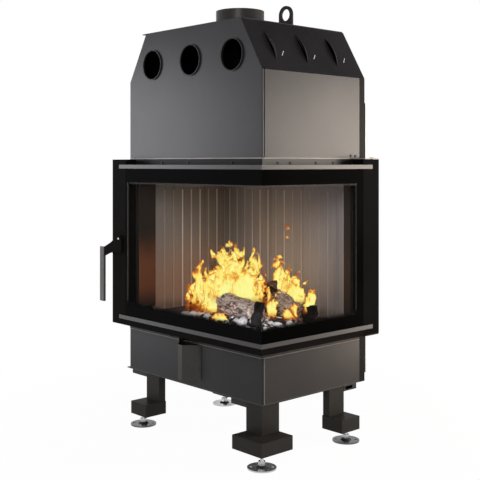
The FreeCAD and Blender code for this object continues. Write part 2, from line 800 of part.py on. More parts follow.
def make_glazing():
    """Two panes that meet at the corner, the strips on their edges and the rope seal behind."""
    low_z = door_z + rail_lip_height + stile_plate + glass_edge_gap
    high_z = rail_top_z - stile_plate - glass_edge_gap
    half_gap = glass_corner_gap / 2
    left = left_stile_x + glass_edge_gap
    rear = right_stile_y - glass_edge_gap
    front = [
        (left, -glass_face), (glass_face - half_gap, -glass_face),
        (glass_back - half_gap, -glass_back), (left, -glass_back),
    ]
    side = [
        (glass_face, half_gap - glass_face), (glass_face, rear),
        (glass_back, rear), (glass_back, half_gap - glass_back),
    ]
    nodes["door_front_glass"] = prism(front, (low_z, high_z))
    nodes["door_side_glass"] = prism(side, (low_z, high_z))
    strip = (glass_face, door_reach)
    strip_left = door_left_x + strip_left_inset
    strip_rear = door_rear_y - strip_rear_inset
    low_strip_z = door_z + rail_lip_height
    high_strip_z = rail_top_z - strip_height
    for name, z in (("glass_strip_bottom", low_strip_z), ("glass_strip_top", high_strip_z)):
        nodes[name] = corner_run(strip, (z, z + strip_height), strip_left, strip_rear)
    rope = (seat_clearance, door_gap)
    low_seal_z = door_z + bottom_rail_height - seal_edge_gap - seal_width
    high_seal_z = opening_high_z + seal_edge_gap
    seal_left = left_stile_x - stile_plate - seal_edge_gap - seal_width
    seal_rear = right_stile_y + stile_plate + seal_lip
    upright_z = (low_seal_z, high_seal_z + seal_width)
    seal = [
        corner_run(rope, (low_seal_z, low_seal_z + seal_width), seal_left, seal_rear),
        corner_run(rope, (high_seal_z, high_seal_z + seal_width), seal_left, seal_rear),
        block((seal_left, seal_left + seal_width), (-rope[1], -rope[0]), upright_z),
        block(rope, (seal_rear - seal_width, seal_rear), upright_z),
    ]
    nodes["door_seal"] = joined(seal)


def make_hinge():
    """Brackets on the body above and below the door, each with a loose pin into the stile."""
    plate_end = door_rear_y + hinge_plate_overhang
    plate_y = (plate_end - hinge_plate_length, plate_end)
    plate_x = (0, hinge_x + hinge_plate_margin)
    low_z = door_z - door_head_gap - hinge_plate_thickness
    hole = hinge_pin_radius + running_clearance
    up = (0, 0, 1)
    spots = {"upper": ledge_z, "lower": low_z}
    for name, z in spots.items():
        plate = block(plate_x, plate_y, (z, z + hinge_plate_thickness))
        bore = rod((hinge_x, hinge_y, z - overrun), up, hole, hinge_plate_thickness + overrun * 2)
        nodes[name + "_hinge_bracket"] = plate.cut(bore)
    shank = hinge_plate_thickness + door_head_gap + hinge_cap - hinge_pin_play
    upper_z = ledge_z + hinge_plate_thickness
    upper_pin = joined([
        rod((hinge_x, hinge_y, upper_z - shank), up, hinge_pin_radius, shank),
        rod((hinge_x, hinge_y, upper_z), up, hinge_head_radius, hinge_head_height),
    ])
    lower_pin = joined([
        rod((hinge_x, hinge_y, low_z), up, hinge_pin_radius, shank),
        rod((hinge_x, hinge_y, low_z - hinge_head_height), up, hinge_head_radius, hinge_head_height),
    ])
    nodes["hinge_pins"] = Part.makeCompound([upper_pin, lower_pin])


def make_handle():
    """Lever handle with its shaft through the left stile, the hook inside and the catch on the post."""
    back = (0, 1, 0)
    hole_radius = handle_shaft_radius + running_clearance
    hook_y = (-hook_back_gap - hook_thickness, -hook_back_gap)
    spacer_length = handle_arm_gap - seat_clearance
    head_y = handle_front_y - handle_head_height
    shaft = [
        rod((pivot_x, head_y, pivot_z), back, handle_head_radius, handle_head_height),
        rod((pivot_x, handle_front_y, pivot_z), back, handle_shaft_radius, hook_y[1] - handle_front_y),
        rod((pivot_x, handle_back_y, pivot_z), back, handle_shaft_radius + handle_boss_wall, spacer_length),
    ]
    nodes["handle_shaft"] = joined(shaft)
    outline = [(pivot_x + handle_arm_reach * a, pivot_z + handle_arm_drop * b) for a, b in handle_arm_shares]
    arm = prism(outline, (handle_front_y, handle_back_y), "y")
    hole_base = (pivot_x, handle_front_y - overrun, pivot_z)
    hole = rod(hole_base, back, hole_radius, handle_arm_thickness + overrun * 2)
    nodes["handle_arm"] = arm.cut(hole)
    grip_x = grip_span_x()
    grip_y = (handle_front_y + handle_back_y) / 2
    grip_z = outline[0][1]
    grip = block(grip_x, (grip_y - grip_depth / 2, grip_y + grip_depth / 2), (grip_z - grip_length, grip_z))
    nodes["handle_grip"] = broken_edges(grip, grip_round)
    hook_z = (pivot_z - hook_height / 2, pivot_z + hook_height / 2)
    hook = block((pivot_x - hook_length, pivot_x), hook_y, hook_z)
    eye = rod((pivot_x, hook_y[0], pivot_z), back, hook_height / 2, hook_thickness)
    bore = rod((pivot_x, hook_y[0] - overrun, pivot_z), back, hole_radius, hook_thickness + overrun * 2)
    nodes["latch_hook"] = joined([hook, eye]).cut(bore)
    catch_top = hook_z[0] - catch_clearance
    nodes["latch_catch"] = block(
        (wall_left_x, wall_left_x + catch_width), (hook_y[0], 0), (catch_top - catch_height, catch_top)
    )


def grip_span_x():
    """Left and right sides of the grip, which stands on the end of the arm."""
    arm_end = pivot_x + handle_arm_reach * handle_arm_shares[0][0]
    return arm_end - grip_width, arm_end


def leg_posts(growth=0):
    """Post outlines of the legs from the foot box up to the bottom plate, grown for a cut-out."""
    tall = (foot_box_top_z, bottom_plate_z + growth)
    posts = {}
    for name, place, turn, lead in leg_sites():
        post = block((-growth, post_width + growth), (-growth, post_depth + growth), tall)
        posts[name] = set_down(post, place, turn)
    outer = -post_setback + growth
    inner = outer - post_depth - growth * 2
    far = corner_post_width + growth * 2
    outline = [
        (outer, -outer), (outer, far - outer), (inner, far - outer),
        (inner, -inner), (outer - far, -inner), (outer - far, -outer),
    ]
    posts["front_right"] = prism(outline, tall)
    return posts


def foot_box(x, y):
    """Folded box with a top and a floor, open to the rear."""
    wall = foot_box_wall
    box = block(x, y, (foot_box_z, foot_box_top_z))
    inside = block(
        (x[0] + wall, x[1] - wall), (y[0] + wall, y[1] + overrun),
        (foot_box_z + wall, foot_box_top_z - wall),
    )
    return box.cut(inside)


def make_legs():
    """Posts on their foot boxes, and the chrome levelling feet screwed into the boxes."""
    shrink = -post_wall
    hollows = leg_posts(shrink)
    posts = leg_posts()
    boxes = {}
    for name, place, turn, lead in leg_sites():
        box = foot_box((-lead, foot_box_side - lead), (-foot_box_reach, foot_box_side - foot_box_reach))
        boxes[name] = set_down(box, place, turn)
    reach = corner_box_side - corner_post_width - post_setback
    boxes["front_right"] = foot_box((reach - corner_box_side, reach), (-reach, corner_box_side - reach))
    up = (0, 0, 1)
    for name, (x, y) in foot_places().items():
        post = posts[name].cut(hollows[name].translated(FreeCAD.Vector(0, 0, post_wall)))
        stem_hole = rod((x, y, foot_box_z - overrun), up, foot_stem_radius + running_clearance, overrun * 2)
        nodes["leg_" + name] = joined([boxes[name], post]).cut(stem_hole)
        nodes["foot_" + name] = levelling_foot(x, y)


def levelling_foot(x, y):
    """Round floor plate with bolt holes, hub, nut and threaded stem."""
    up = (0, 0, 1)
    hub_top = foot_disc_thickness + foot_hub_height
    nut_top = foot_box_z - foot_nut_gap
    stem_top = foot_box_top_z - foot_box_wall - foot_stem_head_gap
    disc = rod((x, y, 0), up, foot_disc_radius, foot_disc_thickness)
    for i in range(foot_bolt_count):
        angle = math.pi / foot_bolt_count * (2 * i + 1)
        bolt_x = x + foot_bolt_circle / 2 * math.cos(angle)
        bolt_y = y + foot_bolt_circle / 2 * math.sin(angle)
        bolt_length = foot_disc_thickness + overrun * 2
        disc = disc.cut(rod((bolt_x, bolt_y, -overrun), up, foot_bolt_radius, bolt_length))
    hub_base = FreeCAD.Vector(x, y, foot_disc_thickness)
    hub = Part.makeCone(foot_hub_radius, foot_nut_width / 2, foot_hub_height, hub_base)
    corner = foot_nut_width / math.sqrt(3)
    hexagon = [
        (x + corner * math.cos(math.pi / 3 * i), y + corner * math.sin(math.pi / 3 * i)) for i in range(6)
    ]
    nut = prism(hexagon, (hub_top - foot_disc_thickness / 2, nut_top))
    stem = rod((x, y, foot_disc_thickness), up, foot_stem_radius, stem_top - foot_disc_thickness)
    return joined([disc, hub, nut, stem])


def make_screws():
    """Round screw heads on the header, the jacket side and the lower frame."""
    heads = []
    for x in header_screw_front:
        heads.append(rod((-x, 0, ledge_z - header_screw_drop), (0, -1, 0), screw_radius, screw_height))
    for y in header_screw_side:
        heads.append(rod((0, y, ledge_z - header_screw_drop), (1, 0, 0), screw_radius, screw_height))
    for gap in jacket_screw_rear:
        base = (0, body_depth - gap, jacket_z + jacket_screw_rise)
        heads.append(rod(base, (1, 0, 0), screw_radius, screw_height))
    for offset in frame_screw_offsets:
        base = (channel_x - offset, 0, frame_z + frame_screw_rise)
        heads.append(rod(base, (0, -1, 0), screw_radius, screw_height))
    nodes["panel_screws"] = Part.makeCompound(heads)


make_base()
make_air_control()
make_firebox()
make_lining()
make_log_heap()
make_jacket()
make_roof()
make_stiles()
make_rails()
make_glazing()
make_hinge()
make_handle()
make_legs()
make_screws()

# The footprint runs from the grip to the corner foot, and from that foot to the heat shield.
corner_foot_x, corner_foot_y = foot_places()["front_right"]
footprint_x = (grip_span_x()[0], corner_foot_x + foot_disc_radius)
footprint_y = (corner_foot_y - foot_disc_radius, rear_y + shield_gap + shield_thickness)
origin_shift = FreeCAD.Vector(-sum(footprint_x) / 2, -sum(footprint_y) / 2, 0)

os.makedirs("parts", exist_ok=True)
for node_name, node_shape in nodes.items():
    node_shape.translated(origin_shift).exportStep("parts/" + node_name + ".step")
print(len(nodes), "pieces; body corner moved by", tuple(origin_shift))
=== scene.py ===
import math
import random

import bmesh
import bpy
from mathutils import Matrix, Vector, noise


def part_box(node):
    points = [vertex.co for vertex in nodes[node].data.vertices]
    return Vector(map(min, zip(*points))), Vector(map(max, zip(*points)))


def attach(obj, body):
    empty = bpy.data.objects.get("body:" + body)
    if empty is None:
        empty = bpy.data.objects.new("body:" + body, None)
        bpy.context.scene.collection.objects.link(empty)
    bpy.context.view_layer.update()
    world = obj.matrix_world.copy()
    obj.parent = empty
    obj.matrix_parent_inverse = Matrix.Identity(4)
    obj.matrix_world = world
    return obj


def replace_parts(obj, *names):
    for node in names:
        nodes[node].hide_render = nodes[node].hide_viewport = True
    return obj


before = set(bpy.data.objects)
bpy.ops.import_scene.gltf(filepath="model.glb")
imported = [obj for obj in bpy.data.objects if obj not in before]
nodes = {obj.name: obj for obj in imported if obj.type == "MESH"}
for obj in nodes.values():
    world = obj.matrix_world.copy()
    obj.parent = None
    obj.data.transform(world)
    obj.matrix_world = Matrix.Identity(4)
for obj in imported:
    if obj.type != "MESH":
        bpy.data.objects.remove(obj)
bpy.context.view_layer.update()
panel_low, panel_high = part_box("base_front_panel")


def spot(across, back, up):
    """Point given in millimetres from the front right corner of the base, and from the floor."""
    return Vector((panel_high.x + across / 1000, panel_low.y + back / 1000, up / 1000))


# Node materials

class Socket:
    """An output of a node tree. Arithmetic on it adds Math nodes."""

    def __init__(self, look, output):
        self.look = look
        self.output = output

    def math(self, operation, *values, clamp=False):
        """Result of a Math node on the given values."""
        settings = {"operation": operation, "use_clamp": clamp}
        return self.look.node("Math", settings, dict(enumerate(values)))

    def __add__(self, other):
        return self.math("ADD", self, other)

    def __sub__(self, other):
        return self.math("SUBTRACT", self, other)

    def __rsub__(self, other):
        return self.math("SUBTRACT", other, self)

    def __mul__(self, other):
        return self.math("MULTIPLY", self, other)

    def __truediv__(self, other):
        return self.math("DIVIDE", self, other)

    def __gt__(self, other):
        return self.math("GREATER_THAN", self, other)

    def __lt__(self, other):
        return self.math("LESS_THAN", self, other)

    def __abs__(self):
        return self.math("ABSOLUTE", self)

    __radd__ = __add__
    __rmul__ = __mul__

    def between(self, low, high):
        """1 where the value lies between two numbers."""
        return (self > low) * (self < high)

    def off_line(self, first, pitch):
        """Distance to the nearest of evenly spaced lines."""
        return self.math("PINGPONG", self - first, pitch / 2)

    def rise(self, low, high):
        """0 below the first number, 1 above the second, smooth in between."""
        settings = {"interpolation_type": "SMOOTHSTEP"}
        return self.look.node("MapRange", settings, {"Value": self, "From Min": low, "From Max": high})


class Look:
    """A node tree that is built up node by node."""

    def __init__(self, tree):
        self.tree = tree
        tree.nodes.clear()

    def node(self, kind, settings=None, inputs=None, output=0):
        """An output of a new node, with settings on the node and values or links on its inputs."""
        made = self.tree.nodes.new("ShaderNode" + kind)
        for key, value in (settings or {}).items():
            if key == "stops":
                elements = made.color_ramp.elements
                for stop in value[2:]:
                    elements.new(stop[0])
                for element, (place, colour) in zip(elements, value):
                    element.position = place
                    element.color = colour
            else:
                setattr(made, key, value)
        for key, value in (inputs or {}).items():
            if isinstance(value, Socket):
                self.tree.links.new(value.output, made.inputs[key])
            else:
                made.inputs[key].default_value = value
        return Socket(self, made.outputs[output]) if made.outputs else None

    def place(self):
        """Place of the surface in metres."""
        return self.node("TexCoord", output="Object")

    def split(self, vector):
        """X, Y and Z of a vector."""
        made = self.node("SeparateXYZ", inputs={0: vector}).output.node
        return [Socket(self, output) for output in made.outputs]

    def axes(self):
        """X, Y and Z of the surface in metres."""
        return self.split(self.place())

    def facing(self):
        """X, Y and Z of the direction that the surface looks in."""
        return self.split(self.node("NewGeometry", output="Normal"))

    def away_from(self, point):
        """Distance of the surface from a point."""
        return self.node("VectorMath", {"operation": "DISTANCE"}, {0: self.place(), 1: point}, "Value")

    def stretched(self, x, y, z):
        """Place of the surface with each axis multiplied."""
        return self.node("Mapping", inputs={"Vector": self.place(), "Scale": (x, y, z)})

    def grain(self, scale, detail, rough=0.5, vector=None, swirl=0.0):
        """Cloudy noise from 0 to 1."""
        values = {"Scale": scale, "Detail": detail, "Roughness": rough, "Distortion": swirl}
        return self.node("TexNoise", inputs={"Vector": vector or self.place(), **values})

    def cells(self, scale, feature="F1", output="Distance"):
        """Irregular cells: how far their middles or edges are, or a colour for each."""
        inputs = {"Vector": self.place(), "Scale": scale}
        return self.node("TexVoronoi", {"feature": feature}, inputs, output)

    def blend(self, factor, first, second):
        """First colour where the factor is 0, second where it is 1."""
        return self.node("Mix", {"data_type": "RGBA"}, {0: factor, 6: first, 7: second}, output=2)

    def bump(self, height, distance, strength):
        """Normal of the surface with a fine relief on it."""
        return self.node("Bump", inputs={"Height": height, "Distance": distance, "Strength": strength})

    def paint(self, values, painted_shade=None):
        """Finish of the surface, with black painted in as shade where the shade mask is 1."""
        shader = self.node("BsdfPrincipled", inputs=values)
        if painted_shade:
            black = self.node("BsdfDiffuse", inputs={"Color": (0.003, 0.003, 0.003, 1.0)})
            shader = self.node("MixShader", inputs={0: painted_shade, 1: shader, 2: black})
        self.node("OutputMaterial", inputs={"Surface": shader})


def tone(red, green, blue):
    """Linear colour of a screen colour from 0 to 255."""
    shares = [c / 255 for c in (red, green, blue)]
    linear = [((c + 0.055) / 1.055) ** 2.4 if c > 0.04045 else c / 12.92 for c in shares]
    return (*linear, 1.0)


def shade(colour, share):
    """The same colour, darker or lighter."""
    return (*(c * share for c in colour[:3]), 1.0)


no_light = (0.0, 0.0, 0.0, 1.0)
full_white = (1.0, 1.0, 1.0, 1.0)
# Light steel tone that is painted in as highlights.
highlight_steel_tone = tone(232, 230, 226)
dull_metal = {"Metallic": 0.12, "Specular IOR Level": 0.19}
# Share of that painted highlight on the base corner and on the header's side.
highlight_share = 0.14


def new_look(name):
    """Empty node tree of a new material, and the material."""
    material = bpy.data.materials.new(name)
    material.use_nodes = True
    return Look(material.node_tree), material


def seam_line(look):
    """1 in the line beside the front right corner, where the side sheet begins."""
    x, y = look.axes()[:2]
    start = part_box("base_casing")[0].y
    lap, width, depth = 0.0005, 0.0035, 0.004
    return y.between(start - lap, start + width) * (x > panel_high.x - depth)


def corner_highlight(look):
    """Share of painted highlight on the front right corner of the base."""
    return seam_line(look) * highlight_share


def looks_inwards(look, node):
    """1 on the faces that look towards the upright line through the middle of a CAD node."""
    x, y = look.axes()[:2]
    across, back = look.facing()[:2]
    low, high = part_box(node)
    middle = (low + high) / 2
    return (x - middle.x) * across + (y - middle.y) * back < 0.0


def hood_shadow(look):
    """1 on the seam and on the faces that look into the hood, where black is painted in as shade."""
    seam = seam_line(look)
    return seam.math("MAXIMUM", seam, looks_inwards(look, "jacket_top_plate"))


def louvre_glint(look):
    """1 on a short painted highlight by each louvre in the right slope."""
    x, y, z = look.axes()
    first, upper = spot(-53, 137, 1482), spot(-32, 137, 1502)
    pitch, half_width, lean = 0.174, 0.0014, 0.95
    glint_band = (y - (z - first.z) * lean).off_line(first.y, pitch) < half_width
    return glint_band * x.between(first.x, upper.x) * z.between(first.z, upper.z)


def side_sheen(look):
    """Share of painted sheen on the header's right face; none by the hinge."""
    y = look.axes()[1]
    fades, ends = spot(0, 380, 0).y, spot(0, 440, 0).y
    return (look.facing()[0] > 0.5) * (1 - y.rise(fades, ends)) * highlight_share


def powder_coat(name, colour, gloss, level, painted_shade=None, painted_highlight=None):
    """Stoved paint on sheet steel: fine pebbled skin, with slow changes of tone and gloss. A highlight
    mask paints a light steel tone in as highlight, and a shade mask paints black in as shade.
    """
    look, material = new_look(name)
    pebble = look.grain(950, 3.0)
    cloud = look.grain(4.5, 4.0, 0.6)
    dust = look.grain(60, 5.0, 0.7)
    mottle = (cloud * 0.7 + dust * 0.3).rise(0.35, 0.65)
    skin = look.blend(mottle, shade(colour, 0.86), shade(colour, 1.16))
    look.paint({
        "Base Color": look.blend(painted_highlight(look), skin, highlight_steel_tone) if painted_highlight else skin,
        "Roughness": gloss + (cloud - 0.5) * 0.10 + (pebble - 0.5) * 0.12,
        "Specular IOR Level": level,
        "Normal": look.bump(pebble, 0.00025, 0.35),
    }, painted_shade and painted_shade(look))
    return material


def brushed_strip(name, colour, along):
    """Bare steel with fine lines along one direction."""
    look, material = new_look(name)
    lines = look.grain(1.0, 3.0, 0.6, look.stretched(*along))
    cloud = look.grain(9, 3.0)
    look.paint({
        **dull_metal,
        "Base Color": look.blend(lines * 0.75 + cloud * 0.25, shade(colour, 0.72), colour),
        "Roughness": 0.34 + (lines - 0.5) * 0.22,
        "Normal": look.bump(lines, 0.00006, 0.5),
    })
    return material


def zinc_sheet(name, colour):
    """Galvanised steel: spangled flats, and brighter cut edges at its sides."""
    look, material = new_look(name)
    x = look.axes()[0]
    low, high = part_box("rear_heat_shield")
    edge, fade = 0.002, 0.003
    spangle = look.cells(70)
    cloud = look.grain(6, 4.0)
    cut = 1 - x.rise(low.x + edge, low.x + fade) * (1 - x.rise(high.x - fade, high.x - edge))
    flat = look.blend(spangle * 0.7 + cloud * 0.3, shade(colour, 0.3), shade(colour, 0.5))
    look.paint({
        **dull_metal,
        "Base Color": look.blend(cut, flat, colour),
        "Roughness": 0.36 + (spangle - 0.5) * 0.2,
        "Normal": look.bump(spangle, 0.0001, 0.3),
    })
    return material


def lining_stone(name, colour):
    """Pressed mineral board: speckled, darker towards the top, sooty towards the floor, with painted
    firelight low down, painted shade towards the inner corner and painted highlights in its grooves.
    """
    look, material = new_look(name)
    x, y, z = look.axes()
    speck = look.grain(420, 4.0, 0.65)
    flake = look.cells(230)
    cloud = look.grain(5, 4.0, 0.55)
    streak = look.grain(1.0, 3.0, 0.6, look.stretched(60, 60, 1.2))
    darker_top = z.rise(0.86, 1.02) * 0.3
    sooty_streak = streak.rise(0.5, 0.75) * 0.2
    sooty_foot = (1 - z.rise(0.455, 0.5)) * 0.4
    body = look.blend(speck.rise(0.35, 0.68), shade(colour, 0.74), colour)
    body = look.blend(cloud.rise(0.4, 0.75) * 0.35, body, shade(colour, 0.7))
    slab_low, slab_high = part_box("lining_left")
    left_slab = x < slab_high.x + 0.0005
    firelight = (1 - z.rise(0.5, 0.84)) * (left_slab * 0.38 + 0.14)
    body = look.blend(firelight, body, tone(210, 156, 122))
    # The back slab is tinted cooler than the left one: painted cooler light.
    body = look.blend((1 - left_slab) * 0.35, body, tone(134, 134, 146))
    inwards = y.rise(slab_low.y + 0.12, slab_high.y)
    # Darker towards the inner corner where the slabs meet: painted shade.
    corner = left_slab * inwards + (1 - left_slab) * (1 - x.rise(slab_high.x, slab_high.x + 0.16))
    body = look.blend(darker_top + sooty_streak + sooty_foot + corner * 0.3, body, tone(46, 40, 36))
    first, pitch = spot(-720, 136, 0), 0.05
    left_half, back_half, edge_width = 0.0034, 0.0026, 0.004
    groove_foot, groove_head = 0.449, 0.963
    # Pale lines in the grooves and along the back slab's right edge: painted highlights, stronger
    # towards the back of the left slab.
    left_highlight_weight = 0.25 + y.rise(slab_low.y, slab_low.y + 0.2)
    left_grooves = left_slab * (y.off_line(first.y, pitch) < left_half) * left_highlight_weight
    back_grooves = (1 - left_slab) * (x.off_line(first.x, pitch) < back_half) * 0.8
    right_edge_highlight = (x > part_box("lining_back")[1].x - edge_width) * 0.6
    pale = (left_grooves + back_grooves + right_edge_highlight) * z.between(groove_foot, groove_head)
    highlight_strength = look.grain(1.0, 1.0, 0.5, look.stretched(11, 11, 0)).rise(0.34, 0.62) * 0.55 + 0.3
    look.paint({
        "Base Color": look.blend(pale * highlight_strength, body, tone(236, 226, 216)),
        "Roughness": 0.86 + (speck - 0.5) * 0.16,
        "Specular IOR Level": 0.2,
        "Normal": look.bump(speck * 0.7 + flake * 0.3, 0.0012, 0.5),
    })
    return material


def firelit_steel(name, colour):
    """Sooty steel beside the fire, with rust-brown firelight painted on at the height of the flames."""
    look, material = new_look(name)
    x, z = look.axes()[::2]
    cloud = look.grain(9, 5.0, 0.6)
    scale = look.grain(260, 4.0, 0.65)
    beside_flames = z.rise(0.46, 0.56) * (1 - z.rise(0.63, 0.8))
    strongest_left = (x < 0.0) * 0.88 + 0.12
    # Rust-brown painted firelight, only on the faces that look into the firebox.
    firelight_tint = beside_flames * cloud.rise(0.1, 0.5) * strongest_left * looks_inwards(look, "hearth_slab")
    look.paint({
        "Base Color": look.blend(firelight_tint, look.blend(scale, shade(colour, 0.7), colour), tone(132, 84, 62)),
        "Roughness": 0.7 + (scale - 0.5) * 0.2,
        "Specular IOR Level": 0.06,
        "Normal": look.bump(scale, 0.0005, 0.4),
    })
    return material


def printed_pane(name, across, clear, glint_band, ink, edge):
    """Heat-proof glass: a clear middle in a black printed border, with a painted highlight as a fine
    grey edge on two sides.
    """
    look, material = new_look(name)
    axes = dict(zip("xyz", look.axes()))
    u, v = axes[across], axes["z"]
    (left, right), (low, high) = clear
    feather, foot_start, foot_end = 0.0015, 0.004, 0.022
    edge_foot, edge_height, edge_start = 0.02, 0.006, 0.022
    window = u.rise(left - feather, left + feather) * (1 - u.rise(right - feather, right + feather))
    window = window * v.rise(low - foot_start, low + foot_end)
    window = window * (1 - v.rise(high - feather, high + feather))
    beside = u.between(*glint_band) * v.between(low + edge_foot, high)
    above = v.between(high - edge_height, high) * u.between(left + edge_start, right)
    # The fine grey edge beside and above the clear middle is a painted highlight; edge sets its share
    # beside the middle.
    line = beside * edge + above * 0.42
    haze = look.grain(7, 3.0)
    look.paint({
        "Base Color": look.blend(line, look.blend(window, ink, tone(30, 28, 27)), tone(112, 108, 106)),
        "Alpha": 1 - window * (0.95 - haze * 0.04) * (1 - line * 0.8),
        "Roughness": 0.16 + haze * 0.06,
        "Specular IOR Level": 0.001,
    })
    material.surface_render_method = "BLENDED"
    return material


def chrome_foot(name, disc):
    """Polished foot: a floor disc in its own tone, a dark plastic collar on it and a bright stem."""
    look, material = new_look(name)
    z = look.axes()[2]
    disc_top, collar_top = 0.0052, 0.0118
    collar = z.between(disc_top, collar_top)
    metal = look.blend(z < disc_top, tone(186, 186, 188), disc)
    turned = look.grain(300, 2.0)
    smear = look.grain(45, 3.0, 0.6)
    look.paint({
        "Base Color": look.blend(collar, metal, tone(22, 22, 22)),
        "Metallic": 1 - collar,
        "Roughness": 0.18 + smear * 0.12 + collar * 0.3,
        "Normal": look.bump(turned, 0.00005, 0.3),
    })
    return material


def pivot_screw(name):
    """Blackened pivot with a bright screw in its middle."""
    look, material = new_look(name)
    x, z = look.axes()[::2]
    low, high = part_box("handle_shaft")
    middle = (low + high) / 2
    across, up = x - middle.x, z - middle.z
    screw_radius = 0.0044
    bright = across * across + up * up < screw_radius ** 2
    smear = look.grain(400, 3.0)
    look.paint({
        "Base Color": look.blend(bright, tone(20, 19, 18), tone(236, 234, 230)),
        "Roughness": 0.4 + (smear - 0.5) * 0.2,
        "Specular IOR Level": 0.02,
    })
    return material


def seal_rope(name):
    """Woven glass rope, black."""
    look, material = new_look(name)
    weave = look.cells(520)
    look.paint({
        "Base Color": look.blend(weave, tone(48, 46, 44), tone(18, 18, 18)),
        "Roughness": 0.9 + (weave - 0.5) * 0.1,
        "Normal": look.bump(weave, 0.001, 0.7),
    })
    return material


# Finish of each CAD node

graphite = powder_coat("graphite_sheet", tone(31, 30, 32), 0.34, 0.22)
# Darker copy of the sheet paint for the base's front: painted shade.
graphite_low_shaded = powder_coat("graphite_low_shaded", tone(28, 27, 29), 0.36, 0.17)
graphite_hood = powder_coat(
    "graphite_hood", tone(34, 33, 35), 0.34, 0.22, painted_shade=hood_shadow, painted_highlight=louvre_glint)
graphite_seam = powder_coat("graphite_casing", tone(33, 29, 26), 0.34, 0.22, painted_highlight=corner_highlight)
# Lighter copy of the sheet paint; on the bottom plate it stands for the highlight along its edge:
# painted highlight.
graphite_pale = powder_coat("graphite_pale", tone(50, 48, 45), 0.36, 0.2)
graphite_collar = powder_coat("graphite_collar", tone(44, 42, 40), 0.36, 0.17)
graphite_dull = powder_coat("graphite_sheet_dull", tone(30, 29, 29), 0.42, 0.16)
# Light copies of the paint for the ledge and sill plates: painted highlight along their edges. The upper
# hinge bracket shares the ledge's.
plate_edge_highlight = powder_coat("plate_edge_highlight", tone(150, 146, 141), 0.38, 0.3)
sill_edge_highlight = powder_coat("sill_edge_highlight", tone(98, 95, 91), 0.38, 0.26)
black_sheet = powder_coat("black_sheet", tone(38, 36, 34), 0.46, 0.07)
cover_black = powder_coat("cover_black", tone(22, 21, 20), 0.46, 0.03)
header_black = powder_coat("header_black", tone(26, 25, 24), 0.44, 0.07, painted_highlight=side_sheen)
stile_black = powder_coat("stile_black", tone(13, 13, 13), 0.4, 0.003)
door_black = powder_coat("door_black", tone(20, 19, 18), 0.4, 0.003)
# Near-black for the smoke dome seen through the hot-air outlets: painted shade.
dome_shade_black = powder_coat("dome_shade_black", tone(9, 9, 9), 0.8, 0.02)
dark_screw = powder_coat("dark_screw", tone(14, 13, 13), 0.35, 0.12)
firelit_firebox = firelit_steel("firebox_steel", tone(62, 56, 52))
grip_grey = brushed_strip("grip_steel", tone(86, 84, 82), (900, 900, 40))
strip_grey = brushed_strip("strip_steel", tone(68, 67, 67), (30, 30, 1200))
shield_steel = zinc_sheet("shield_steel", tone(186, 186, 186))
pivot = pivot_screw("pivot_screw")
lining = lining_stone("lining_board", tone(155, 150, 147))
hearth = lining_stone("hearth_stone", tone(66, 60, 56))
rope = seal_rope("seal_rope")
foot_chrome = chrome_foot("levelling_foot", tone(190, 190, 192))
# Same foot with a darker disc, on two of the feet: painted darker reflection.
foot_shaded = chrome_foot("levelling_foot_shaded", tone(92, 92, 93))

clear_left, clear_rear = spot(-749, 0, 0).x, spot(0, 442, 0).y
clear_height = (0.488, 1.0)
past_corner = 0.9
front_glass = printed_pane(
    "front_pane", "x", ((clear_left, past_corner), clear_height),
    (clear_left + 0.003, clear_left + 0.01), tone(15, 15, 16), 0.5)
side_glass = printed_pane(
    "side_pane", "y", ((-past_corner, clear_rear), clear_height),
    (clear_rear - 0.004, clear_rear), tone(6, 6, 6), 0.4)

finishes = {
    graphite: ["jacket_top_plate"],
    graphite_low_shaded: ["base_front_panel"],
    graphite_hood: ["jacket_front_panel", "jacket_right_panel", "jacket_left_panel"],
    graphite_seam: ["base_casing"],
    graphite_pale: ["air_channel_cover", "bottom_plate"],
    graphite_collar: ["flue_collar"],
    graphite_dull: [
        "lower_frame", "hot_air_collar_left", "hot_air_collar_middle", "hot_air_collar_right",
        "air_inlet_spigot", "base_tray", "air_slide_plate",
    ],
    plate_edge_highlight: ["ledge_plate", "upper_hinge_bracket"],
    sill_edge_highlight: ["sill_plate"],
    dark_screw: ["panel_screws", "hinge_pins", "lower_hinge_bracket"],
    black_sheet: [
        "lifting_eye", "leg_front_left", "leg_front_right", "leg_rear_left", "leg_rear_right",
        "latch_catch",
    ],
    cover_black: ["back_cover"],
    header_black: ["header_frame"],
    stile_black: ["door_right_stile"],
    door_black: [
        "door_left_stile", "door_bottom_rail", "door_top_rail", "latch_hook",
        "handle_arm", "air_lever",
    ],
    firelit_firebox: ["left_wall", "back_wall", "floor_plate", "left_front_post", "right_rear_post"],
    dome_shade_black: ["smoke_dome"],
    grip_grey: ["handle_grip"],
    strip_grey: ["glass_strip_bottom", "glass_strip_top"],
    shield_steel: ["rear_heat_shield"],
    pivot: ["handle_shaft"],
    lining: ["lining_left", "lining_back", "baffle_plate"],
    hearth: ["hearth_slab"],
    rope: ["door_seal"],
    foot_chrome: ["foot_front_right", "foot_rear_left"],
    foot_shaded: ["foot_front_left", "foot_rear_right"],
    front_glass: ["door_front_glass"],
    side_glass: ["door_side_glass"],
}
for material, names in finishes.items():
    for name in names:
        slots = nodes[name].data.materials
        slots.clear()
        slots.append(material)


# Logs, embers and flames in the firebox

hearth_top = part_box("hearth_slab")[1].z
lowest = hearth_top + 0.001
underside = hearth_top + 0.0005


def add_piece(name, shape, material):
    """Object made of a bmesh, riding on the insert's body."""
    for face in shape.faces:
        face.smooth = True
    mesh = bpy.data.meshes.new(name)
    shape.to_mesh(mesh)
    shape.free()
    mesh.materials.append(material)
    made = bpy.data.objects.new(name, mesh)
    bpy.context.scene.collection.objects.link(made)
    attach(made, "insert_body")
    return made


